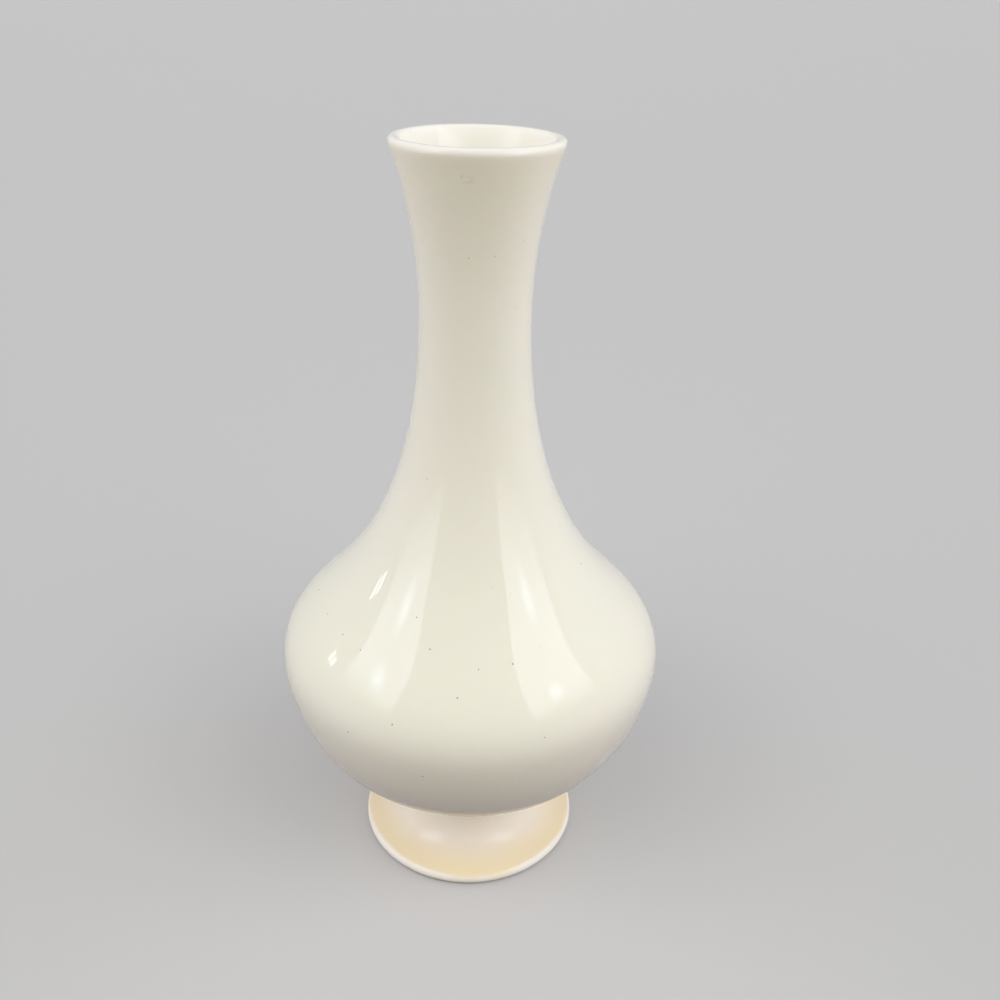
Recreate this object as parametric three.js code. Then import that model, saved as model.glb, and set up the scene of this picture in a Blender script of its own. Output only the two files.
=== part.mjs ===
// A bud vase in glazed porcelain: a slip-cast body, luted onto a separately cast pedestal foot.
// Millimetres, +Z up. The origin is the middle of the foot's standing ring, on the table.

import * as THREE from "three";

// Body: levels are measured up from its seat on the joining slip
const BODY_HEIGHT = 145;
const MOUTH_DIAMETER = 33; // over the lip
const NECK_DIAMETER = 22.5; // at its narrowest level
const NECK_LEVEL = 112.5;
const SHOULDER_DIAMETER = 64.5; // where the belly's swell turns into the sweep of the neck
const SHOULDER_LEVEL = 50;
const SHOULDER_LEAN = 43.3; // degrees that the wall leans inwards there
const BELLY_DIAMETER = 86.1; // at its widest level
const BELLY_LEVEL = 33;
const STUB_HEIGHT = 2.5; // the solid stub under the belly, fillet included
const STUB_FILLET = 2;

// Fullness of the body's curves: the length of the tangent at each end of a curve
const UNDERSIDE_RUN = 24; // level, outwards from the stub
const LOWER_BELLY_RUN = 6; // upright, below the widest level
const UPPER_BELLY_RUN = 6.8; // upright, above the widest level
const LOWER_SHOULDER_RUN = 8.2; // along the wall, below the shoulder
const UPPER_SHOULDER_RUN = 7.5; // along the wall, above the shoulder
const NECK_RUN = 40.5; // upright, below the narrowest level

// Walls of the body, square to its outer face
const FLOOR_WALL = 4;
const BELLY_WALL = 3.2;
const SHOULDER_WALL = 3;
const NECK_WALL = 2.6;
const LIP_WALL = 2.2; // the lip is a half round of this thickness

// Joint between the body and the foot
const STEM_DIAMETER = 26;
const SLIP_THICKNESS = 0.6;

// Foot
const FOOT_HEIGHT = 19.4;
const FOOT_DIAMETER = 52;
const FOOT_WALL = 3;
const FOOT_EDGE = 2.6; // thickness of its rounded outer edge
const STANDING_RING_WIDTH = 2.2; // the flat ground ring that meets the table
const STEM_RUN = 10.5; // tangent of the spread at the stem, upright
const SPREAD_RUN = 7.5; // tangent of the spread at the outer edge
const SPREAD_SLOPE = 14; // degrees that the spread falls at the outer edge

// Facets
const FACETS_ROUND = 64; // round the axis
const FACETS_OUTSIDE = 10; // along each curve of an outer face
const FACETS_INSIDE = 7; // along each curve of an inner face
const FACETS_FILLET = 3;
const FACETS_ROUND_EDGE = 6; // over a half round
const SAME_POINT = 0.001; // neighbours on a profile that are nearer than this are one point

// Colours and roughness of the fired surfaces
const IVORY_GLAZE = { color: 0xeceade, roughness: 0.12, metalness: 0 };
const CREAM_GLAZE = { color: 0xe8d8b8, roughness: 0.15, metalness: 0 };
const JOINING_SLIP = { color: 0xe2d6bf, roughness: 0.35, metalness: 0 };

const QUARTER_TURN = Math.PI / 2;

const stemRadius = STEM_DIAMETER / 2;
const boreRadius = stemRadius - FOOT_WALL;

/** A point of a profile: its distance from the axis and its height. */
const at = (radius, height) => new THREE.Vector2(radius, height);

/** The points of an arc about a centre, from one angle to another. */
function arcPoints(centre, radius, from, to, facets) {
  const arc = new THREE.EllipseCurve(centre.x, centre.y, radius, radius, from, to, to < from);
  return arc.getPoints(facets);
}

/** The inner face of a wall: an outer curve moved towards the axis, by a thickness that changes evenly. */
class InnerFace extends THREE.Curve {
  constructor(outerFace, wallAtStart, wallAtEnd) {
    super();
    this.outerFace = outerFace;
    this.wallAtStart = wallAtStart;
    this.wallAtEnd = wallAtEnd;
  }

  getPoint(t) {
    const along = this.outerFace.getTangent(t);
    const wall = THREE.MathUtils.lerp(this.wallAtStart, this.wallAtEnd, t);
    return at(-along.y, along.x).multiplyScalar(wall).add(this.outerFace.getPoint(t));
  }
}

/** Revolves a profile, which climbs the outside and comes down the inside, about the upright axis. */
function revolved(name, profile, finish) {
  const apart = profile.filter((p, i) => i === 0 || p.distanceTo(profile[i - 1]) > SAME_POINT);
  const geometry = new THREE.LatheGeometry(apart, FACETS_ROUND).rotateX(QUARTER_TURN);
  const mesh = new THREE.Mesh(geometry, new THREE.MeshStandardMaterial(finish));
  mesh.name = name;
  return mesh;
}

/** The hollow shell in one wall: stub, belly, shoulder, neck, flared mouth and half-round lip. */
function vaseBody() {
  const mouthRadius = MOUTH_DIAMETER / 2;
  const neckRadius = NECK_DIAMETER / 2;
  const bellyRadius = BELLY_DIAMETER / 2;
  const lipRadius = LIP_WALL / 2;
  const undersideStart = stemRadius + STUB_FILLET;
  const shoulderPoint = at(SHOULDER_DIAMETER / 2, SHOULDER_LEVEL);
  const lean = THREE.MathUtils.degToRad(SHOULDER_LEAN);
  const upTheShoulder = at(-Math.sin(lean), Math.cos(lean));

  const underside = new THREE.CubicBezierCurve(
    at(undersideStart, STUB_HEIGHT),
    at(undersideStart + UNDERSIDE_RUN, STUB_HEIGHT),
    at(bellyRadius, BELLY_LEVEL - LOWER_BELLY_RUN),
    at(bellyRadius, BELLY_LEVEL),
  );
  const swell = new THREE.CubicBezierCurve(
    at(bellyRadius, BELLY_LEVEL),
    at(bellyRadius, BELLY_LEVEL + UPPER_BELLY_RUN),
    shoulderPoint.clone().addScaledVector(upTheShoulder, -LOWER_SHOULDER_RUN),
    shoulderPoint,
  );
  const neck = new THREE.CubicBezierCurve(
    shoulderPoint,
    shoulderPoint.clone().addScaledVector(upTheShoulder, UPPER_SHOULDER_RUN),
    at(neckRadius, NECK_LEVEL - NECK_RUN),
    at(neckRadius, NECK_LEVEL),
  );

  // The mouth flares along one arc, upright at the neck, that runs smoothly into the lip's half round
  const lipCentre = at(mouthRadius - lipRadius, BODY_HEIGHT - lipRadius);
  const flareRise = lipCentre.y - NECK_LEVEL;
  const flareAngle = 2 * Math.atan((mouthRadius - neckRadius) / flareRise);
  const flareRadius = flareRise / Math.sin(flareAngle) - lipRadius;
  const flare = new THREE.EllipseCurve(
    neckRadius + flareRadius,
    NECK_LEVEL,
    flareRadius,
    flareRadius,
    Math.PI,
    Math.PI - flareAngle,
    true,
  );

  const filletCentre = at(undersideStart, STUB_HEIGHT - STUB_FILLET);
  const fillet = arcPoints(filletCentre, STUB_FILLET, Math.PI, QUARTER_TURN, FACETS_FILLET);
  const lip = arcPoints(lipCentre, lipRadius, -flareAngle, Math.PI - flareAngle, FACETS_ROUND_EDGE);
  const outside = [underside, swell, neck, flare].flatMap((curve) => curve.getPoints(FACETS_OUTSIDE));
  const inside = [
    new InnerFace(underside, FLOOR_WALL, BELLY_WALL),
    new InnerFace(swell, BELLY_WALL, SHOULDER_WALL),
    new InnerFace(neck, SHOULDER_WALL, NECK_WALL),
    new InnerFace(flare, NECK_WALL, LIP_WALL),
  ].flatMap((curve) => curve.getPoints(FACETS_INSIDE));

  const profile = [
    at(0, 0),
    at(stemRadius, 0),
    ...fillet,
    ...outside,
    ...lip,
    ...inside.reverse(),
    at(0, STUB_HEIGHT + FLOOR_WALL),
  ];
  return revolved("vase_body", profile, IVORY_GLAZE);
}

/** The ring of slip that joins stub and foot, squeezed out to a small bead at both its edges. */
function lutingSlip() {
  const bead = SLIP_THICKNESS / 2;
  const outerBead = arcPoints(at(stemRadius, bead), bead, -QUARTER_TURN, QUARTER_TURN, FACETS_FILLET);
  const innerBead = arcPoints(at(boreRadius, bead), bead, QUARTER_TURN, 3 * QUARTER_TURN, FACETS_FILLET);
  const profile = [...outerBead, ...innerBead, outerBead[0]];
  return revolved("luting_slip", profile, JOINING_SLIP);
}

/** The hollow foot: a stem that spreads to a rounded edge, open beneath, standing on a flat ground ring. */
function pedestalFoot() {
  const footRadius = FOOT_DIAMETER / 2;
  const edgeRadius = FOOT_EDGE / 2;
  const edgeCentre = at(footRadius - edgeRadius, edgeRadius);
  const ringInnerRadius = edgeCentre.x - STANDING_RING_WIDTH;
  const fall = THREE.MathUtils.degToRad(SPREAD_SLOPE);
  const inwards = at(-Math.cos(fall), Math.sin(fall)).multiplyScalar(SPREAD_RUN);

  const edge = arcPoints(edgeCentre, edgeRadius, -QUARTER_TURN, QUARTER_TURN - fall, FACETS_ROUND_EDGE);
  const spreadStart = edge.at(-1);
  const spread = new THREE.CubicBezierCurve(
    spreadStart,
    spreadStart.clone().add(inwards),
    at(stemRadius, FOOT_HEIGHT - STEM_RUN),
    at(stemRadius, FOOT_HEIGHT),
  );
  const hollow = new THREE.CubicBezierCurve(
    at(boreRadius, FOOT_HEIGHT),
    at(boreRadius, FOOT_HEIGHT - STEM_RUN),
    at(ringInnerRadius, 0).add(inwards),
    at(ringInnerRadius, 0),
  );

  const profile = [
    ...edge,
    ...spread.getPoints(FACETS_OUTSIDE),
    ...hollow.getPoints(FACETS_INSIDE),
    edge[0],
  ];
  return revolved("pedestal_foot", profile, CREAM_GLAZE);
}

// The foot stands on the table, the slip lies on the foot and the body sits on the slip
const slip = new THREE.Group();
slip.position.z = FOOT_HEIGHT;
slip.add(lutingSlip());

const seatedBody = new THREE.Group();
seatedBody.position.z = SLIP_THICKNESS;
seatedBody.add(vaseBody());
slip.add(seatedBody);

const budVase = new THREE.Group();
budVase.add(pedestalFoot(), slip);

export default budVase;
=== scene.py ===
"""Looks of a glazed porcelain bud vase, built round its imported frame.

The slip-cast body, its pedestal foot and the ring of joining slip between them are revolved as fine
meshes, from the same sizes as the frame's solids, and dressed in their glazes. Metres, +Z up, with the
origin under the middle of the foot.
"""

import logging
import math
from collections.abc import Mapping
from dataclasses import dataclass, replace
from enum import Enum

import bpy
from mathutils import Matrix, Vector


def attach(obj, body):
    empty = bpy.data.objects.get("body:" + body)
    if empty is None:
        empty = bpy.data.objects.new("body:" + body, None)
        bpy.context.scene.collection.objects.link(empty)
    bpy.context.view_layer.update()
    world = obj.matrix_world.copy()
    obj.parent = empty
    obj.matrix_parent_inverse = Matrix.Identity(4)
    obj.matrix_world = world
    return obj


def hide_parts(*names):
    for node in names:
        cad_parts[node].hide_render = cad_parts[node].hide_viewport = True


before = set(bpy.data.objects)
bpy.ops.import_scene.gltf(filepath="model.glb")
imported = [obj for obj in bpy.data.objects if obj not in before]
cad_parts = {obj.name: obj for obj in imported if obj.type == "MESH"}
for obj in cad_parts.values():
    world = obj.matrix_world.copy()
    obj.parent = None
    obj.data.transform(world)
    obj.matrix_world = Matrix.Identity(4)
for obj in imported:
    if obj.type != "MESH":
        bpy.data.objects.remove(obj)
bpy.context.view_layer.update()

LOG = logging.getLogger("bud_vase")

MM = 0.001
QUARTER_TURN = math.pi / 2
BODY_NAME = "root"
ON_AXIS = 0.0001 * MM  # a profile point nearer to the axis than this lies on it
INSIDE_BLEND = 2 * MM  # how softly the outside of a wall gives way to its inside
GLAZE_IOR = 1.52

# Sockets of a mix node for colours, by number
MIX_SHARE, MIX_BASE, MIX_OVER, MIX_RESULT = 0, 6, 7, 2

Colour = tuple[float, float, float]
Number = bpy.types.NodeSocket | float
Triple = bpy.types.NodeSocket | Vector | Colour
Inputs = Mapping[str, object] | Mapping[int, object]


class Slot(Enum):
    """The record's material slots."""

    IVORY_GLAZE = "ivory_glaze"
    CREAM_GLAZE = "cream_glaze"
    JOINING_SLIP = "joining_slip"


class Lamp(Enum):
    """The outlines that a lamp's face can have."""

    RECTANGLE = "RECTANGLE"
    ELLIPSE = "ELLIPSE"


# Profiles


def at(radius: float, height: float) -> Vector:
    """A point of a profile: its distance from the axis and its height."""
    return Vector((radius, height))


@dataclass(frozen=True)
class Sweep:
    """A cubic curve of a profile, given by its ends and their handles."""

    start: Vector
    start_handle: Vector
    end_handle: Vector
    end: Vector

    def point(self, t: float) -> Vector:
        """The point some way along the curve.

        Args:
            t: The share of the curve, from 0 at its start to 1 at its end.

        Returns:
            The point.
        """
        s = 1 - t
        return (
            s**3 * self.start
            + 3 * s * s * t * self.start_handle
            + 3 * s * t * t * self.end_handle
            + t**3 * self.end
        )

    def direction(self, t: float) -> Vector:
        """The direction of travel some way along the curve.

        Args:
            t: The share of the curve, from 0 at its start to 1 at its end.

        Returns:
            The unit direction.
        """
        s = 1 - t
        along = (
            s * s * (self.start_handle - self.start)
            + 2 * s * t * (self.end_handle - self.start_handle)
            + t * t * (self.end - self.end_handle)
        )
        return along.normalized()


@dataclass(frozen=True)
class Arc:
    """A circular arc of a profile, from one angle to another."""

    centre: Vector
    radius: float
    start_angle: float
    end_angle: float

    def _angle(self, t: float) -> float:
        """The angle at a share t of the arc."""
        return self.start_angle + (self.end_angle - self.start_angle) * t

    def point(self, t: float) -> Vector:
        """The point at a share t of the arc."""
        angle = self._angle(t)
        return self.centre + self.radius * Vector((math.cos(angle), math.sin(angle)))

    def direction(self, t: float) -> Vector:
        """The direction of travel some way along the arc.

        Args:
            t: The share of the arc, from 0 at its start to 1 at its end.

        Returns:
            The unit direction.
        """
        angle = self._angle(t)
        turn = math.copysign(1.0, self.end_angle - self.start_angle)
        return turn * Vector((-math.sin(angle), math.cos(angle)))


Curve = Sweep | Arc


def points_of(curve: Curve, steps: int) -> list[Vector]:
    """Even steps along a curve, both ends included."""
    return [curve.point(i / steps) for i in range(steps + 1)]


def inner_face(curve: Curve, wall_start: float, wall_end: float, steps: int) -> list[Vector]:
    """Moves an outer curve inwards by a wall.

    Args:
        curve: The outer curve, which climbs the outside.
        wall_start: The wall's thickness at the curve's start.
        wall_end: The wall's thickness at its end.
        steps: How many steps to take along it.

    Returns:
        The points of the inner face, from the curve's start to its end.
    """
    moved = []
    for i in range(steps + 1):
        t = i / steps
        along = curve.direction(t)
        wall = wall_start + (wall_end - wall_start) * t
        moved.append(curve.point(t) + wall * Vector((-along.y, along.x)))
    return moved


def even(points: list[Vector], gap: float) -> list[Vector]:
    """Places points anew along a line, at even gaps.

    Args:
        points: The line's points.
        gap: About how far apart the new points are.

    Returns:
        The new points, with the same two ends.
    """
    reach = [0.0]
    for a, b in zip(points, points[1:]):
        reach.append(reach[-1] + (b - a).length)
    count = max(2, round(reach[-1] / gap))
    placed = [points[0].copy()]
    k = 0
    for i in range(1, count):
        goal = reach[-1] * i / count
        while reach[k + 1] < goal:
            k += 1
        share = (goal - reach[k]) / (reach[k + 1] - reach[k])
        placed.append(points[k].lerp(points[k + 1], share))
    placed.append(points[-1].copy())
    return placed


def relaxed(points: list[Vector], passes: int) -> list[Vector]:
    """Averages each point with its neighbours, with the two ends held.

    Args:
        points: The points of a line.
        passes: How many times over they are averaged.

    Returns:
        The averaged points.
    """
    for _ in range(passes):
        middle = [(a + 2 * b + c) / 4 for a, b, c in zip(points, points[1:], points[2:])]
        points = [points[0], *middle, points[-1]]
    return points


def faired(points: list[Vector], passes: int, hold: int) -> list[Vector]:
    """Evens out the bend along a line as a wet sponge does, without drawing its curves in.

    Args:
        points: Evenly placed points.
        passes: How many times each point is averaged with its neighbours.
        hold: Over how many points at each end the change fades away.

    Returns:
        The faired points.
    """
    once = relaxed(points, passes)
    twice = relaxed(once, passes)
    last = len(points) - 1
    fair = []
    for i, point in enumerate(points):
        weight = min(1.0, i / hold, (last - i) / hold)
        fair.append(point.lerp(2 * once[i] - twice[i], weight))
    return fair


# Meshes


@dataclass(frozen=True)
class Lobe:
    """A slow wave in the roundness of a cast pot, which moves round the axis with the height.

    It has a count of crests round the axis. It starts at an angle in radians, and twists by a number of
    radians in each metre of height.
    """

    count: int
    start: float
    twist: float
    weight: float

    def wave(self, angle: float, height: float) -> float:
        """The wave at an angle round the axis and a height."""
        return self.weight * math.cos(self.count * angle + self.start + self.twist * height)


@dataclass(frozen=True)
class Turning:
    """How finely a piece is turned, and how far its roundness strays, as on a mould-cast pot."""

    segments: int = 160
    stray: float = 0.02 * MM
    lobes: tuple[Lobe, ...] = (Lobe(2, 0.6, 18.0, 1.0), Lobe(3, 2.1, -31.0, 0.6))
    sharp_angle: float = math.radians(50)

    def _radius(self, point: Vector, angle: float) -> float:
        """The radius of a profile point, which only strays inwards.

        Args:
            point: The point of the profile.
            angle: The angle round the axis, in radians.

        Returns:
            The radius there.
        """
        crest = sum(lobe.weight for lobe in self.lobes)
        wave = sum(lobe.wave(angle, point.y) for lobe in self.lobes)
        return point.x - self.stray * (crest - wave) / 2

    def revolve(self, name: str, profile: list[Vector], closed: bool) -> bpy.types.Object:
        """Turns a profile, which climbs the outside and comes down the inside, about the upright axis.

        Args:
            name: The piece's name.
            profile: The profile's points.
            closed: Whether its last point joins its first, and both are off the axis.

        Returns:
            The piece, linked to the scene.
        """
        corners: list[tuple[float, float, float]] = []
        rings: list[list[int]] = []
        for point in profile:
            first = len(corners)
            if point.x < ON_AXIS:
                corners.append((0.0, 0.0, point.y))
                rings.append([first] * self.segments)
                continue
            for s in range(self.segments):
                angle = 2 * math.pi * s / self.segments
                radius = self._radius(point, angle)
                corners.append((radius * math.cos(angle), radius * math.sin(angle), point.y))
            rings.append(list(range(first, first + self.segments)))
        if closed:
            rings.append(rings[0])
        faces = []
        for low, high in zip(rings, rings[1:]):
            for s in range(self.segments):
                n = (s + 1) % self.segments
                face = list(dict.fromkeys((low[s], low[n], high[n], high[s])))
                faces.append(face)
        mesh = bpy.data.meshes.new(name)
        mesh.from_pydata(corners, [], faces)
        mesh.validate()
        mesh.polygons.foreach_set("use_smooth", [True] * len(mesh.polygons))
        mesh.set_sharp_from_angle(angle=self.sharp_angle)
        piece = bpy.data.objects.new(name, mesh)
        bpy.context.scene.collection.objects.link(piece)
        return piece


# Finishes


@dataclass(frozen=True)
class Clouds:
    """Soft uneven patches of one size, with a number of finer layers. Another seed gives other patches."""

    size: float
    detail: float
    seed: float


@dataclass(frozen=True)
class Mottle(Clouds):
    """Clouds that pass from a low value to a high one, between a start and an end in their own range."""

    start: float
    end: float
    low: float = 0.0
    high: float = 1.0


@dataclass(frozen=True)
class Dots:
    """Round dots about a gap apart, up to a radius that has a soft edge. Another seed gives other dots."""

    gap: float
    radius: float
    soft: float
    seed: float


class Shader:
    """The node tree of a material or of the air, with short calls that add nodes and join them."""

    def __init__(self, owner: bpy.types.Material | bpy.types.World, surface: str) -> None:
        """Takes hold of a node tree.

        Args:
            owner: The material or the air that the tree belongs to.
            surface: The name of the tree's shader node.
        """
        owner.use_nodes = True
        self.owner = owner
        self.tree = owner.node_tree
        self.surface = self.tree.nodes[surface].inputs

    @classmethod
    def of_material(cls, name: str) -> "Shader":
        """Starts a new material."""
        return cls(bpy.data.materials.new(name), "Principled BSDF")

    @classmethod
    def of_air(cls, name: str) -> "Shader":
        """Starts the light that comes from all round."""
        return cls(bpy.data.worlds.new(name), "Background")

    def add(self, kind: str, inputs: Inputs | None = None, **settings: object) -> bpy.types.Node:
        """Adds a node.

        Args:
            kind: The node's type.
            inputs: Values, or other nodes' outputs, for its sockets by name or number.
            **settings: The node's own properties.

        Returns:
            The new node.
        """
        node = self.tree.nodes.new(kind)
        for key, value in settings.items():
            setattr(node, key, value)
        for key, value in (inputs or {}).items():
            self.feed(node.inputs[key], value)
        return node

    def feed(self, socket: bpy.types.NodeSocket, value: object) -> None:
        """Joins an output to a socket, or sets the socket's own value.

        Args:
            socket: The socket.
            value: Another node's output, or a plain value.
        """
        if isinstance(value, bpy.types.NodeSocket):
            self.tree.links.new(value, socket)
        else:
            socket.default_value = value

    def place(self) -> bpy.types.NodeSocket:
        """The place on the piece, in metres from the vase's origin."""
        return self.add("ShaderNodeTexCoord").outputs["Object"]

    def vector(self, kind: str, a: Triple, b: Triple, output: str = "Vector") -> bpy.types.NodeSocket:
        """One step of arithmetic on two vectors, of a kind such as ADD or DOT_PRODUCT."""
        return self.add("ShaderNodeVectorMath", {0: a, 1: b}, operation=kind).outputs[output]

    def height(self) -> bpy.types.NodeSocket:
        """The height of the place above the table."""
        return self.add("ShaderNodeSeparateXYZ", {"Vector": self.place()}).outputs["Z"]

    def level(self) -> bpy.types.NodeSocket:
        """The place on the piece, seen from above: its height is left out."""
        return self.vector("MULTIPLY", self.place(), (1.0, 1.0, 0.0))

    def seen(self) -> bpy.types.NodeSocket:
        """Tells what is looked at from what only gives light.

        Returns:
            1 for what the camera sees, also in a glossy or clear face, and 0 for the light on matt faces.
        """
        path = self.add("ShaderNodeLightPath").outputs
        shown = self.number("MAXIMUM", path["Is Camera Ray"], path["Is Glossy Ray"])
        return self.number("MAXIMUM", shown, path["Is Transmission Ray"])

    def inside(self) -> bpy.types.NodeSocket:
        """Tells the inside of a wall from its outside.

        Returns:
            1 on the faces that look towards the axis, and 0 on those that look away from it.
        """
        facing = self.add("ShaderNodeNewGeometry").outputs["Normal"]
        outwards = self.vector("DOT_PRODUCT", facing, self.level(), "Value")
        return self.ramp(outwards, -INSIDE_BLEND, 0.0, 1.0, 0.0)

    def number(self, kind: str, a: Number, b: Number) -> bpy.types.NodeSocket:
        """One step of arithmetic on two values, of a kind such as ADD or MULTIPLY."""
        return self.add("ShaderNodeMath", {0: a, 1: b}, operation=kind).outputs["Value"]

    def ramp(
        self, value: Number, start: float, end: float, low: float = 0.0, high: float = 1.0
    ) -> bpy.types.NodeSocket:
        """A smooth step from one level to another.

        Args:
            value: What the step depends on.
            start: The value at which it begins.
            end: The value at which it ends.
            low: The level before it.
            high: The level after it.

        Returns:
            The step's output.
        """
        inputs = {"Value": value, "From Min": start, "From Max": end, "To Min": low, "To Max": high}
        return self.add("ShaderNodeMapRange", inputs, interpolation_type="SMOOTHSTEP").outputs["Result"]

    def blend(self, share: Number, base: Triple, over: Triple) -> bpy.types.NodeSocket:
        """Mixes two colours.

        Args:
            share: How much of the second one shows.
            base: The first colour, or an output.
            over: The second colour, or an output.

        Returns:
            The mixed colour.
        """
        node = self.add("ShaderNodeMix", data_type="RGBA")
        for socket, value in ((MIX_SHARE, share), (MIX_BASE, base), (MIX_OVER, over)):
            self.feed(node.inputs[socket], (*value, 1.0) if isinstance(value, tuple) else value)
        return node.outputs[MIX_RESULT]

    def clouds(self, pattern: Clouds) -> bpy.types.NodeSocket:
        """Lays clouds through the glaze.

        Args:
            pattern: The clouds' measures.

        Returns:
            A value from 0 to 1, mostly near 0.5.
        """
        scale = 1 / pattern.size
        inputs = {"Vector": self.place(), "W": pattern.seed, "Scale": scale, "Detail": pattern.detail}
        return self.add("ShaderNodeTexNoise", inputs, noise_dimensions="4D").outputs["Fac"]

    def mottle(self, pattern: Mottle) -> bpy.types.NodeSocket:
        """Lays clouds that pass from a low value to a high one."""
        return self.ramp(self.clouds(pattern), pattern.start, pattern.end, pattern.low, pattern.high)

    def dots(self, pattern: Dots) -> bpy.types.NodeSocket:
        """Strews dots through the glaze, which show where its face cuts them.

        Args:
            pattern: The dots' measures.

        Returns:
            1 on a dot and 0 off it.
        """
        shifted = self.vector("ADD", self.place(), (pattern.seed, pattern.seed, pattern.seed))
        cells = self.add("ShaderNodeTexVoronoi", {"Vector": shifted, "Scale": 1 / pattern.gap})
        full = (pattern.radius - pattern.soft) / pattern.gap
        gone = pattern.radius / pattern.gap
        return self.ramp(cells.outputs["Distance"], full, gone, 1.0, 0.0)

    def relief(
        self, height: Number, depth: float, under: bpy.types.NodeSocket | None = None
    ) -> bpy.types.NodeSocket:
        """Raises the surface by a height.

        Args:
            height: The height, from 0 to 1.
            depth: What a height of 1 stands for, in metres.
            under: The relief that this one lies on.

        Returns:
            The relief's normal.
        """
        inputs: dict[str, object] = {"Height": height, "Distance": depth, "Strength": 1.0}
        if under is not None:
            inputs["Normal"] = under
        return self.add("ShaderNodeBump", inputs).outputs["Normal"]


@dataclass(frozen=True)
class IvoryGlaze:
    """High-gloss ivory-white glaze: faint clouding, a few iron specks, pinholes and one burst blister."""

    slot: Slot = Slot.IVORY_GLAZE
    colour: Colour = (0.83, 0.825, 0.704)
    warm: Colour = (0.85, 0.805, 0.685)
    warm_patches: Mottle = Mottle(size=38 * MM, detail=3.0, seed=1.7, start=0.35, end=0.7, high=0.35)
    pale: Colour = (0.9, 0.88, 0.8)
    lip_start: float = 162.6 * MM
    lip_end: float = 164.8 * MM
    iron: Colour = (0.09, 0.07, 0.05)
    specks: Dots = Dots(gap=4.2 * MM, radius=0.2 * MM, soft=0.08 * MM, seed=0.37)
    speck_fade: tuple[float, float] = (70 * MM, 100 * MM)
    speck_strength: tuple[float, float] = (0.75, 0.3)
    dust: Dots = Dots(gap=4.6 * MM, radius=0.15 * MM, soft=0.1 * MM, seed=0.81)
    dust_strength: float = 0.4
    gloss: Mottle = Mottle(size=9 * MM, detail=2.0, seed=5.2, start=0.3, end=0.7, low=0.015, high=0.04)
    swell: Clouds = Clouds(size=21 * MM, detail=1.0, seed=3.1)
    swell_height: float = 0.035 * MM
    peel: Clouds = Clouds(size=1.6 * MM, detail=1.0, seed=7.4)
    peel_height: float = 0.0008 * MM
    pinholes: Dots = Dots(gap=11 * MM, radius=0.3 * MM, soft=0.25 * MM, seed=1.43)
    pinhole_depth: float = 0.05 * MM
    blister: Vector = Vector((-1.83, -15.06, 159.85)) * MM
    blister_radius: float = 1.0 * MM
    blister_rim: float = 0.35 * MM
    blister_flatness: float = 1.5
    blister_breaks: Mottle = Mottle(size=0.9 * MM, detail=1.0, seed=6.6, start=0.35, end=0.65, low=0.2)
    blister_height: float = 0.05 * MM
    blister_darkening: float = 0.1
    soft_share: float = 0.45
    soft_depth: float = 3 * MM
    soft_colour: Colour = (1.0, 0.85, 0.62)

    def _blister_rim(self, shader: Shader) -> bpy.types.NodeSocket:
        """The low uneven rim that a burst blister has left in the glaze of the neck.

        Args:
            shader: The glaze's node tree.

        Returns:
            The rim's height, from 0 to 1.
        """
        offset = shader.vector("SUBTRACT", shader.place(), self.blister)
        flattened = shader.vector("MULTIPLY", offset, (1.0, 1.0, self.blister_flatness))
        reach = shader.vector("DISTANCE", flattened, (0.0, 0.0, 0.0), "Value")
        rise = shader.ramp(reach, self.blister_radius - self.blister_rim, self.blister_radius)
        fall = shader.ramp(reach, self.blister_radius, self.blister_radius + self.blister_rim, 1.0, 0.0)
        ring = shader.number("MULTIPLY", rise, fall)
        return shader.number("MULTIPLY", ring, shader.mottle(self.blister_breaks))

    def material(self) -> bpy.types.Material:
        """Makes the glaze, paler on the lip and inside the mouth.

        Returns:
            The body's material.
        """
        shader = Shader.of_material("ivory_glaze_fired")
        height = shader.height()
        body = shader.blend(shader.mottle(self.warm_patches), self.colour, self.warm)
        lip = shader.ramp(height, self.lip_start, self.lip_end)
        body = shader.blend(shader.number("MAXIMUM", lip, shader.inside()), body, self.pale)
        strength = shader.ramp(height, *self.speck_fade, *self.speck_strength)
        specks = shader.number("MULTIPLY", shader.dots(self.specks), strength)
        dust = shader.number("MULTIPLY", shader.dots(self.dust), self.dust_strength)
        rim = self._blister_rim(shader)
        # The blister's rim is drawn darker, in the iron colour.
        rim_darkening = shader.number("MULTIPLY", rim, self.blister_darkening)
        for share in (specks, dust, rim_darkening):
            body = shader.blend(share, body, self.iron)
        shader.feed(shader.surface["Base Color"], body)
        shader.feed(shader.surface["Roughness"], shader.mottle(self.gloss))
        swell = shader.relief(shader.clouds(self.swell), self.swell_height)
        peel = shader.relief(shader.clouds(self.peel), self.peel_height, swell)
        sound = shader.number("SUBTRACT", 1.0, shader.dots(self.pinholes))
        pitted = shader.relief(sound, self.pinhole_depth, peel)
        shader.feed(shader.surface["Normal"], shader.relief(rim, self.blister_height, pitted))
        shader.surface["Subsurface Weight"].default_value = self.soft_share
        shader.surface["Subsurface Scale"].default_value = self.soft_depth
        shader.surface["Subsurface Radius"].default_value = self.soft_colour
        shader.surface["IOR"].default_value = GLAZE_IOR
        return shader.owner


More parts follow.
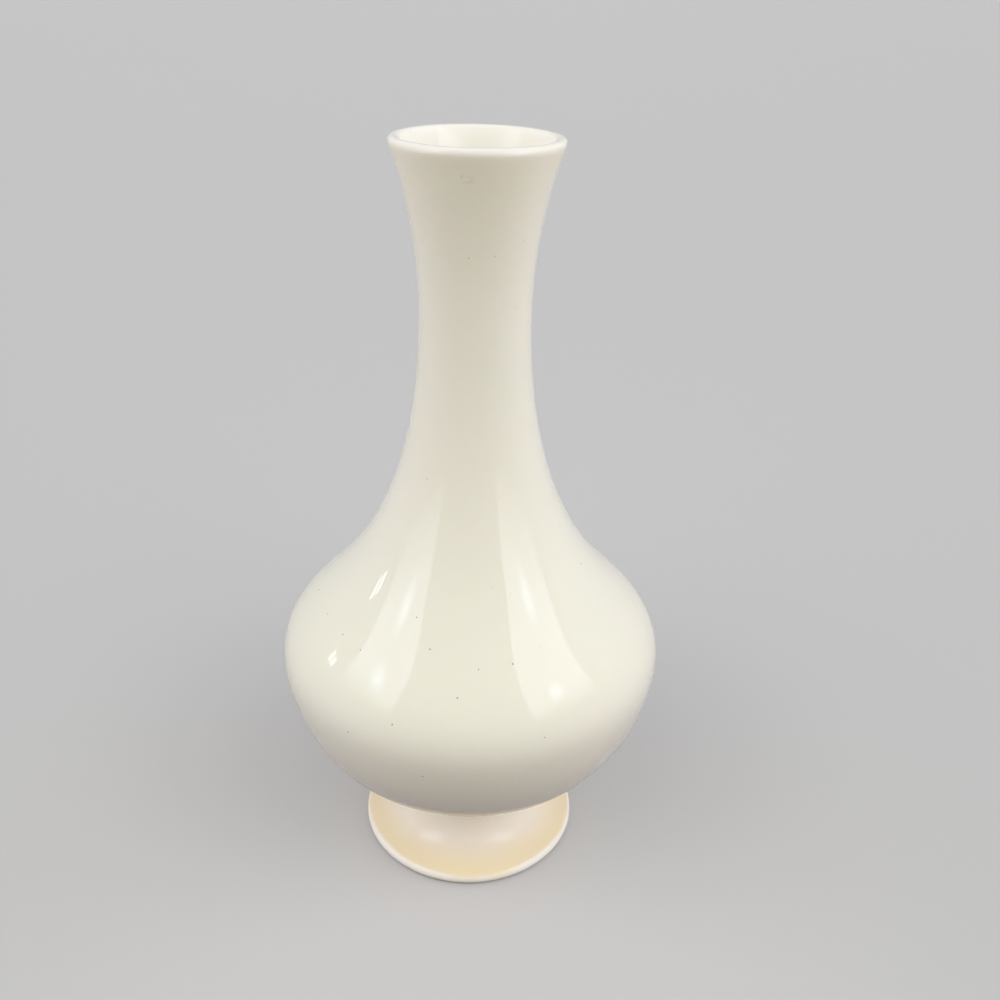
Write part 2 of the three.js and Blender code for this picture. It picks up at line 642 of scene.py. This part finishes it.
@dataclass(frozen=True)
class CreamGlaze:
    """High-gloss cream glaze that pools on the foot's spread and breaks pale over its edge."""

    slot: Slot = Slot.CREAM_GLAZE
    colour: Colour = (0.9, 0.82, 0.69)
    pooled: Colour = (0.89, 0.765, 0.52)
    pool_start: float = 17 * MM
    pool_end: float = 24 * MM
    edge: Colour = (0.92, 0.88, 0.79)
    edge_start: float = 24.85 * MM
    edge_end: float = 25.75 * MM
    drift: Mottle = Mottle(
        size=9 * MM, detail=2.0, seed=2.3, start=0.2, end=0.8, low=-0.6 * MM, high=0.6 * MM
    )
    iron: Colour = (0.1, 0.06, 0.03)
    specks: Dots = Dots(gap=5.5 * MM, radius=0.14 * MM, soft=0.1 * MM, seed=2.6)
    speck_strength: float = 0.4
    bare: Colour = (0.66, 0.58, 0.47)
    grime: Colour = (0.4, 0.34, 0.27)
    worn: Mottle = Mottle(size=3 * MM, detail=4.0, seed=9.2, start=0.45, end=0.75, high=0.6)
    ring_top: float = 0.35 * MM
    ring_blend: float = 0.1 * MM
    ring_roughness: float = 0.8
    gloss: Mottle = Mottle(size=7 * MM, detail=2.0, seed=4.4, start=0.3, end=0.7, low=0.12, high=0.22)
    swell: Clouds = Clouds(size=12 * MM, detail=1.0, seed=6.1)
    swell_height: float = 0.02 * MM
    grain: Clouds = Clouds(size=0.5 * MM, detail=3.0, seed=8.8)
    grain_height: float = 0.03 * MM

    def material(self) -> bpy.types.Material:
        """Makes the glaze, with the bare ground ring beneath.

        Returns:
            The foot's material.
        """
        shader = Shader.of_material("cream_glaze_fired")
        radius = shader.vector("DISTANCE", shader.level(), (0.0, 0.0, 0.0), "Value")
        flow = shader.number("ADD", radius, shader.mottle(self.drift))
        body = shader.blend(shader.ramp(flow, self.pool_start, self.pool_end), self.colour, self.pooled)
        body = shader.blend(shader.ramp(flow, self.edge_start, self.edge_end), body, self.edge)
        specks = shader.number("MULTIPLY", shader.dots(self.specks), self.speck_strength)
        body = shader.blend(specks, body, self.iron)
        ground = shader.blend(shader.mottle(self.worn), self.bare, self.grime)
        ring = shader.ramp(shader.height(), self.ring_top - self.ring_blend, self.ring_top, 1.0, 0.0)
        shader.feed(shader.surface["Base Color"], shader.blend(ring, body, ground))
        dull = shader.number("MULTIPLY", ring, self.ring_roughness)
        shader.feed(shader.surface["Roughness"], shader.number("MAXIMUM", shader.mottle(self.gloss), dull))
        swell = shader.relief(shader.clouds(self.swell), self.swell_height)
        grain = shader.number("MULTIPLY", shader.clouds(self.grain), ring)
        shader.feed(shader.surface["Normal"], shader.relief(grain, self.grain_height, swell))
        shader.surface["IOR"].default_value = GLAZE_IOR
        return shader.owner


@dataclass(frozen=True)
class SlipFinish:
    """The bead of joining slip, sponged smooth and glazed over thinly."""

    slot: Slot = Slot.JOINING_SLIP
    colour: Colour = (0.78, 0.69, 0.54)
    thin: Colour = (0.7, 0.58, 0.42)
    thin_patches: Mottle = Mottle(size=3 * MM, detail=3.0, seed=0.9, start=0.35, end=0.65)
    gloss: Mottle = Mottle(size=1.5 * MM, detail=2.0, seed=3.3, start=0.3, end=0.7, low=0.2, high=0.45)
    grain: Clouds = Clouds(size=0.9 * MM, detail=2.0, seed=4.1)
    grain_height: float = 0.02 * MM

    def material(self) -> bpy.types.Material:
        """Makes the finish of the bead, which is thin in patches.

        Returns:
            The slip's material.
        """
        shader = Shader.of_material("joining_slip_glazed")
        body = shader.blend(shader.mottle(self.thin_patches), self.colour, self.thin)
        shader.feed(shader.surface["Base Color"], body)
        shader.feed(shader.surface["Roughness"], shader.mottle(self.gloss))
        grain = shader.relief(shader.clouds(self.grain), self.grain_height)
        shader.feed(shader.surface["Normal"], grain)
        return shader.owner


Finish = IvoryGlaze | CreamGlaze | SlipFinish


def seat(piece: bpy.types.Object, node: str, finish: Finish) -> None:
    """Dresses a piece, and sets it in the place of the frame's solid.

    Args:
        piece: The fine mesh.
        node: The solid that it stands for.
        finish: The piece's surface.
    """
    piece.data.materials.append(finish.material())
    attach(piece, BODY_NAME)
    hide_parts(node)


# The vase


@dataclass(frozen=True)
class Joint:
    """Where the body sits on the foot: the stem's outside, its bore, and the slip between the two."""

    stem_diameter: float = 26 * MM
    stem_wall: float = 3 * MM
    foot_height: float = 19.4 * MM
    slip_thickness: float = 0.6 * MM

    @property
    def stem_radius(self) -> float:
        """The stem's outer radius."""
        return self.stem_diameter / 2

    @property
    def bore_radius(self) -> float:
        """The radius of the hollow in the stem."""
        return self.stem_radius - self.stem_wall

    @property
    def body_seat(self) -> float:
        """The height of the body's seat above the table."""
        return self.foot_height + self.slip_thickness


@dataclass
class VaseBody:
    """The slip-cast shell: stub, belly, shoulder, neck, flared mouth and rounded lip in one wall."""

    joint: Joint
    finish: IvoryGlaze = IvoryGlaze()
    turning: Turning = Turning()
    height: float = 145 * MM
    mouth_diameter: float = 33 * MM
    neck_diameter: float = 22.5 * MM
    neck_level: float = 112.5 * MM
    shoulder_diameter: float = 64.5 * MM
    shoulder_level: float = 50 * MM
    shoulder_lean: float = math.radians(43.3)
    belly_diameter: float = 86.1 * MM
    belly_level: float = 33 * MM
    stub_height: float = 2.5 * MM
    stub_fillet: float = 2 * MM
    underside_run: float = 24 * MM
    lower_belly_run: float = 6 * MM
    upper_belly_run: float = 6.8 * MM
    lower_shoulder_run: float = 8.2 * MM
    upper_shoulder_run: float = 7.5 * MM
    neck_run: float = 40.5 * MM
    floor_wall: float = 4 * MM
    belly_wall: float = 3.2 * MM
    shoulder_wall: float = 3 * MM
    neck_wall: float = 2.6 * MM
    lip_wall: float = 2.2 * MM
    lip_shoulder: float = 1.8 * MM
    lip_roll: float = 1.4 * MM
    crest_roll: float = 1.0 * MM
    outside_gap: float = 0.8 * MM
    inside_gap: float = 2 * MM
    fair_passes: int = 20
    fair_hold: int = 10
    fillet_steps: int = 6
    curve_steps: int = 200
    lip_steps: int = 12
    lip_inside_steps: int = 7

    def _outer_curves(self) -> tuple[list[Curve], Arc]:
        """The outer face, from the stub up to the lip.

        Returns:
            The curves of the underside, the swell and the neck, and the arc of the flare on its own.
        """
        belly = self.belly_diameter / 2
        neck = self.neck_diameter / 2
        start = self.joint.stem_radius + self.stub_fillet
        shoulder = at(self.shoulder_diameter / 2, self.shoulder_level)
        upward = at(-math.sin(self.shoulder_lean), math.cos(self.shoulder_lean))
        underside = Sweep(
            at(start, self.stub_height),
            at(start + self.underside_run, self.stub_height),
            at(belly, self.belly_level - self.lower_belly_run),
            at(belly, self.belly_level),
        )
        swell = Sweep(
            at(belly, self.belly_level),
            at(belly, self.belly_level + self.upper_belly_run),
            shoulder - self.lower_shoulder_run * upward,
            shoulder,
        )
        throat = Sweep(
            shoulder,
            shoulder + self.upper_shoulder_run * upward,
            at(neck, self.neck_level - self.neck_run),
            at(neck, self.neck_level),
        )
        angle = self._flare_angle()
        radius = self._flare_rise() / math.sin(angle) - self.lip_wall / 2
        flare = Arc(at(neck + radius, self.neck_level), radius, math.pi, math.pi - angle)
        return [underside, swell, throat], flare

    def _flare_rise(self) -> float:
        """How far the middle of the lip lies above the neck's narrowest level."""
        return self.height - self.lip_wall / 2 - self.neck_level

    def _flare_angle(self) -> float:
        """The angle that the flare turns through from the upright neck to the lip."""
        spread = (self.mouth_diameter - self.neck_diameter) / 2
        return 2 * math.atan(spread / self._flare_rise())

    def _profile(self) -> list[Vector]:
        """The shell's profile, above its seat.

        Returns:
            The points from the axis under the stub, round the lip, to the axis on the inside floor.
        """
        round_lip = self.lip_wall / 2
        angle = self._flare_angle()
        curves, flare = self._outer_curves()
        shoulder_turn = math.asin((self.height - self.lip_shoulder - self.neck_level) / flare.radius)
        lower_flare = replace(flare, end_angle=math.pi - shoulder_turn)
        corner = at(self.joint.stem_radius + self.stub_fillet, self.stub_height - self.stub_fillet)
        fillet = points_of(Arc(corner, self.stub_fillet, math.pi, QUARTER_TURN), self.fillet_steps)
        outside = [p for curve in (*curves, lower_flare) for p in points_of(curve, self.curve_steps)]
        outside = faired(even(outside, self.outside_gap), self.fair_passes, self.fair_hold)
        lip_middle = at(self.mouth_diameter / 2 - round_lip, self.height - round_lip)
        crest = lip_middle + at(0.0, round_lip)
        shoulder = outside[-1] + self.lip_roll * lower_flare.direction(1.0)
        outer_lip = Sweep(outside[-1], shoulder, crest + at(self.crest_roll, 0.0), crest)
        inner_lip = Arc(lip_middle, round_lip, QUARTER_TURN, math.pi - angle)
        lip = points_of(outer_lip, self.lip_steps) + points_of(inner_lip, self.lip_inside_steps)[1:]
        walls = [self.floor_wall, self.belly_wall, self.shoulder_wall, self.neck_wall, self.lip_wall]
        inside = []
        for curve, wall_start, wall_end in zip((*curves, flare), walls, walls[1:]):
            inside += inner_face(curve, wall_start, wall_end, self.curve_steps)
        inside = even(inside, self.inside_gap)[::-1]
        floor = at(0.0, self.stub_height + self.floor_wall)
        seat_edge = at(self.joint.stem_radius, 0.0)
        return [at(0.0, 0.0), seat_edge, *fillet[:-1], *outside, *lip[1:-1], *inside, floor]

    def build(self) -> bpy.types.Object:
        """Turns the shell and raises it to its seat."""
        lift = at(0.0, self.joint.body_seat)
        return self.turning.revolve("porcelain_body", [p + lift for p in self._profile()], closed=False)

    def dress(self, piece: bpy.types.Object) -> None:
        """Glazes the shell and sets it in its solid's place."""
        seat(piece, "vase_body", self.finish)


@dataclass
class LutingSlip:
    """The ring of slip that joins stub and foot, squeezed out to a small bead at both its edges."""

    joint: Joint
    finish: SlipFinish = SlipFinish()
    turning: Turning = Turning(stray=0.01 * MM)
    bead_steps: int = 8

    def build(self) -> bpy.types.Object:
        """Turns the ring in its place on the foot.

        Returns:
            The ring.
        """
        bead = self.joint.slip_thickness / 2
        level = self.joint.foot_height + bead
        outwards = Arc(at(self.joint.stem_radius, level), bead, -QUARTER_TURN, QUARTER_TURN)
        inwards = Arc(at(self.joint.bore_radius, level), bead, QUARTER_TURN, 3 * QUARTER_TURN)
        outer, inner = (points_of(arc, self.bead_steps) for arc in (outwards, inwards))
        return self.turning.revolve("slip_bead", outer + inner, closed=True)

    def dress(self, piece: bpy.types.Object) -> None:
        """Glazes the bead and sets it in its solid's place."""
        seat(piece, "luting_slip", self.finish)


@dataclass
class PedestalFoot:
    """The hollow foot: a stem that spreads to a rounded edge, open beneath, on a flat ground ring."""

    joint: Joint
    finish: CreamGlaze = CreamGlaze()
    turning: Turning = Turning()
    diameter: float = 52 * MM
    edge: float = 2.6 * MM
    ring_width: float = 2.2 * MM
    stem_run: float = 10.5 * MM
    spread_run: float = 7.5 * MM
    spread_slope: float = math.radians(14)
    edge_steps: int = 16
    spread_steps: int = 36
    hollow_steps: int = 28

    def _profile(self) -> list[Vector]:
        """The foot's profile, which is closed.

        Returns:
            The points from the ground ring, up the outside and down the hollow.
        """
        round_edge = self.edge / 2
        top = self.joint.foot_height
        middle = at(self.diameter / 2 - round_edge, round_edge)
        ring_inside = at(middle.x - self.ring_width, 0.0)
        inwards = self.spread_run * at(-math.cos(self.spread_slope), math.sin(self.spread_slope))
        rounding = Arc(middle, round_edge, -QUARTER_TURN, QUARTER_TURN - self.spread_slope)
        edge = points_of(rounding, self.edge_steps)
        spread = Sweep(
            edge[-1],
            edge[-1] + inwards,
            at(self.joint.stem_radius, top - self.stem_run),
            at(self.joint.stem_radius, top),
        )
        hollow = Sweep(
            at(self.joint.bore_radius, top),
            at(self.joint.bore_radius, top - self.stem_run),
            ring_inside + inwards,
            ring_inside,
        )
        return edge[:-1] + points_of(spread, self.spread_steps) + points_of(hollow, self.hollow_steps)

    def build(self) -> bpy.types.Object:
        """Turns the foot where it stands."""
        return self.turning.revolve("cream_foot", self._profile(), closed=True)

    def dress(self, piece: bpy.types.Object) -> None:
        """Glazes the foot and sets it in its solid's place."""
        seat(piece, "pedestal_foot", self.finish)


# The studio


def towards(azimuth: float, elevation: float) -> Vector:
    """A direction out from the vase.

    Args:
        azimuth: Degrees round to the right, from the side where the camera stands.
        elevation: Degrees above the floor.

    Returns:
        The unit direction.
    """
    turn, rise = math.radians(azimuth), math.radians(elevation)
    return Vector((math.sin(turn) * math.cos(rise), -math.cos(turn) * math.cos(rise), math.sin(rise)))


@dataclass(frozen=True)
class Glow:
    """A wide soft patch of light on the walls of the studio, brightest in its middle."""

    azimuth: float
    elevation: float
    brightness: float
    tint: Colour = (1.0, 1.0, 1.0)
    tightness: float = 8.0

    def light(self, shader: Shader) -> bpy.types.NodeSocket:
        """The glow's light in each direction.

        Args:
            shader: The node tree of the air.

        Returns:
            The light, where 1 is a white wall in the same picture.
        """
        direction = shader.add("ShaderNodeTexCoord").outputs["Generated"]
        middle = towards(self.azimuth, self.elevation)
        nearness = shader.vector("DOT_PRODUCT", direction, middle, "Value")
        spread = shader.number("POWER", shader.number("MAXIMUM", nearness, 0.0), self.tightness)
        return shader.vector("MULTIPLY", spread, self.brightness * Vector(self.tint))


@dataclass(frozen=True)
class Softbox:
    """A lamp with an even face, turned towards a point and unseen by the camera itself.

    Its brightness is that of its face, where 1 is a white wall in the same picture.
    """

    name: str
    place: Vector
    aim: Vector
    width: float
    height: float
    brightness: float
    tint: Colour = (1.0, 1.0, 1.0)
    outline: Lamp = Lamp.RECTANGLE
    only_mirrored: bool = False

    def build(self) -> None:
        """Hangs the lamp."""
        lamp = bpy.data.lights.new(self.name, "AREA")
        lamp.shape = self.outline.value
        lamp.size = self.width
        lamp.size_y = self.height
        area = self.width * self.height
        if self.outline is Lamp.ELLIPSE:
            area *= math.pi / 4
        lamp.energy = self.brightness * math.pi * area
        lamp.color = self.tint
        stand = bpy.data.objects.new(self.name, lamp)
        stand.location = self.place
        stand.rotation_euler = (self.aim - self.place).to_track_quat("-Z", "Y").to_euler()
        stand.visible_camera = False
        stand.visible_diffuse = not self.only_mirrored
        bpy.context.scene.collection.objects.link(stand)


@dataclass(frozen=True)
class Panel:
    """A tall diffuser close to the vase, dimmer at its lower end, with its lamp showing as a soft oval."""

    name: str
    place: Vector
    aim: Vector
    width: float
    brightness: float
    gleam: float = 0.95
    core_gleam: float = 1.2
    height: float = 150 * MM
    core_width: float = 26 * MM
    core_height: float = 28 * MM
    core_drop: float = 38 * MM
    core_rings: int = 3
    fade: tuple[float, ...] = (0.4, 0.6, 0.8)
    band: float = 8 * MM
    layer_gap: float = 1 * MM
    tint: Colour = (1.0, 0.99, 0.96)
    gleam_tint: Colour = (0.64, 0.74, 1.0)

    def _bands(self) -> list[tuple[float, float, float]]:
        """The bands of its face, dim at the lower end.

        Returns:
            The middle, the height and the share of the light of each band, from the lowest up.
        """
        faded = len(self.fade) * self.band
        start = (self.band - self.height) / 2
        low = [(start + i * self.band, self.band, share) for i, share in enumerate(self.fade)]
        return [*low, (faded / 2, self.height - faded, 1.0)]

    def lamps(self) -> list[Softbox]:
        """The lamps that make up the diffuser.

        Returns:
            Its face in bands, each with its gleam in the glaze, and then the oval in nested rings.
        """
        inwards = (self.aim - self.place).normalized()
        lamps = []
        for number, (middle, height, share) in enumerate(self._bands()):
            lift = Vector((0.0, 0.0, middle))
            face = Softbox(
                f"{self.name}_{number}", self.place + lift, self.aim + lift, self.width, height,
                share * self.brightness, self.tint,
            )
            gleam = replace(
                face, name=f"{self.name}_gleam_{number}", place=face.place + self.layer_gap * inwards,
                brightness=share * self.gleam, tint=self.gleam_tint, only_mirrored=True,
            )
            lamps += [face, gleam]
        drop = Vector((0.0, 0.0, self.core_drop))
        for ring in range(self.core_rings):
            share = 1 - ring / self.core_rings
            layers = 2 + ring  # in front of the face, its gleam and the wider rings
            core = Softbox(
                f"{self.name}_core_{ring}", self.place - drop + layers * self.layer_gap * inwards,
                self.aim - drop, share * self.core_width, share * self.core_height, self.core_gleam,
                self.gleam_tint, Lamp.ELLIPSE, only_mirrored=True,
            )
            lamps.append(core)
        return lamps


@dataclass(frozen=True)
class Window:
    """A small bright window further off, in two panes."""

    name: str
    place: Vector
    brightness: float
    aim: Vector = Vector((0.0, 0.0, 60.0)) * MM
    pane_width: float = 8 * MM
    pane_height: float = 15 * MM
    bar: float = 2.5 * MM

    def lamps(self) -> list[Softbox]:
        """The lamps that make up the window.

        Returns:
            Its two panes, side by side.
        """
        across = (self.aim - self.place).cross(Vector((0.0, 0.0, 1.0))).normalized()
        step = (self.pane_width + self.bar) / 2
        return [
            Softbox(
                f"{self.name}_{side}", self.place + shift * across, self.aim, self.pane_width,
                self.pane_height, self.brightness,
            )
            for side, shift in (("near", -step), ("far", step))
        ]


@dataclass
class Studio:
    """A pale floor, soft light on the walls all round, and a diffuser and a window on each side."""

    floor_radius: float = 60.0
    floor_drop: float = 0.05 * MM
    floor_sides: int = 96
    floor_colour: Colour = (0.62, 0.62, 0.61)
    floor_bounce: Colour = (0.11, 0.055, 0.055)
    floor_roughness: float = 0.9
    floor_shine: float = 0.1
    wall_colour: Colour = (0.57, 0.57, 0.56)
    glows: tuple[Glow, ...] = (
        Glow(45, 41, 2.02, (1.0, 1.0, 0.98)),
        Glow(-45, 41, 1.96, (1.0, 0.995, 0.97)),
        Glow(95, 2, 3.38, (0.995, 0.965, 1.12)),
        Glow(-95, 2, 2.83, (1.005, 0.96, 1.1)),
        Glow(125, 20, 0.55),
        Glow(-125, 20, 0.65),
        Glow(180, 8, 1.8, (0.92, 0.96, 1.0)),
        Glow(8, 6, 0.28, (1.0, 0.85, 0.62)),
        Glow(50, 2, 0.28, (1.0, 0.95, 0.98)),
        Glow(-50, 2, 0.13, (1.0, 0.94, 0.98)),
    )
    panels: tuple[Panel, ...] = (
        Panel("panel_left", Vector((-118, -75, 179)) * MM, Vector((0, -38, 179)) * MM, 88 * MM, 0.95),
        Panel("panel_right", Vector((111, -91, 179)) * MM, Vector((0, -30, 179)) * MM, 102 * MM, 1.05),
    )
    windows: tuple[Window, ...] = (
        Window("window_left", Vector((-206, 0, 130)) * MM, 5.0),
        Window("window_right", Vector((206, -8, 134)) * MM, 0.8),
    )

    def _floor(self) -> None:
        """Lays the floor, a pale matt disc that throws little light back up at the vase."""
        mesh = bpy.data.meshes.new("studio_floor")
        rim = [2 * math.pi * i / self.floor_sides for i in range(self.floor_sides)]
        corners = [(self.floor_radius * math.cos(a), self.floor_radius * math.sin(a), 0.0) for a in rim]
        mesh.from_pydata(corners, [], [list(range(self.floor_sides))])
        floor = bpy.data.objects.new("studio_floor", mesh)
        floor.location.z = -self.floor_drop
        bpy.context.scene.collection.objects.link(floor)
        shader = Shader.of_material("studio_floor_paper")
        colour = shader.blend(shader.seen(), self.floor_bounce, self.floor_colour)
        shader.feed(shader.surface["Base Color"], colour)
        shader.surface["Roughness"].default_value = self.floor_roughness
        shader.surface["Specular IOR Level"].default_value = self.floor_shine
        mesh.materials.append(shader.owner)

    def _air(self) -> None:
        """Lights the vase from the walls of the studio, which themselves show plain and pale."""
        shader = Shader.of_air("studio_air")
        light: Triple = (0.0, 0.0, 0.0)
        for glow in self.glows:
            light = shader.vector("ADD", glow.light(shader), light)
        shader.feed(shader.surface["Color"], shader.blend(shader.seen(), light, self.wall_colour))
        bpy.context.scene.world = shader.owner

    def build(self) -> None:
        """Sets up the floor, the air and the lamps."""
        self._floor()
        self._air()
        for source in (*self.panels, *self.windows):
            for lamp in source.lamps():
                lamp.build()
        bpy.context.scene.view_settings.view_transform = "Standard"


@dataclass
class PhotoCamera:
    """The camera where the photograph was taken, a little above the mouth and looking down."""

    place: Vector = Vector((0.0, -193.15, 191.21)) * MM
    tilt_down: float = math.radians(27.744)
    turn: float = math.radians(-1.749)
    roll: float = math.radians(1.555)
    lens: float = 36.0
    sensor: float = 36.0
    nearest: float = 10 * MM

    def build(self) -> None:
        """Makes the camera and hands it to the scene."""
        camera = bpy.data.cameras.new("photo_camera")
        camera.lens = self.lens
        camera.sensor_width = self.sensor
        camera.clip_start = self.nearest
        stand = bpy.data.objects.new("photo_camera", camera)
        turn = Matrix.Rotation(self.turn, 4, "Z")
        tilt = Matrix.Rotation(QUARTER_TURN - self.tilt_down, 4, "X")
        roll = Matrix.Rotation(self.roll, 4, "Z")
        stand.matrix_world = Matrix.Translation(self.place) @ turn @ tilt @ roll
        bpy.context.scene.collection.objects.link(stand)
        bpy.context.scene.camera = stand


def main() -> None:
    """Builds the vase from the foot up, then the studio and the camera."""
    logging.basicConfig(level=logging.INFO, format="%(name)s: %(message)s")
    joint = Joint()
    for part in (PedestalFoot(joint), LutingSlip(joint), VaseBody(joint)):
        piece = part.build()
        part.dress(piece)
        LOG.info("%s, %d faces", piece.name, len(piece.data.polygons))
    Studio().build()
    PhotoCamera().build()


if __name__ == "__main__":
    main()
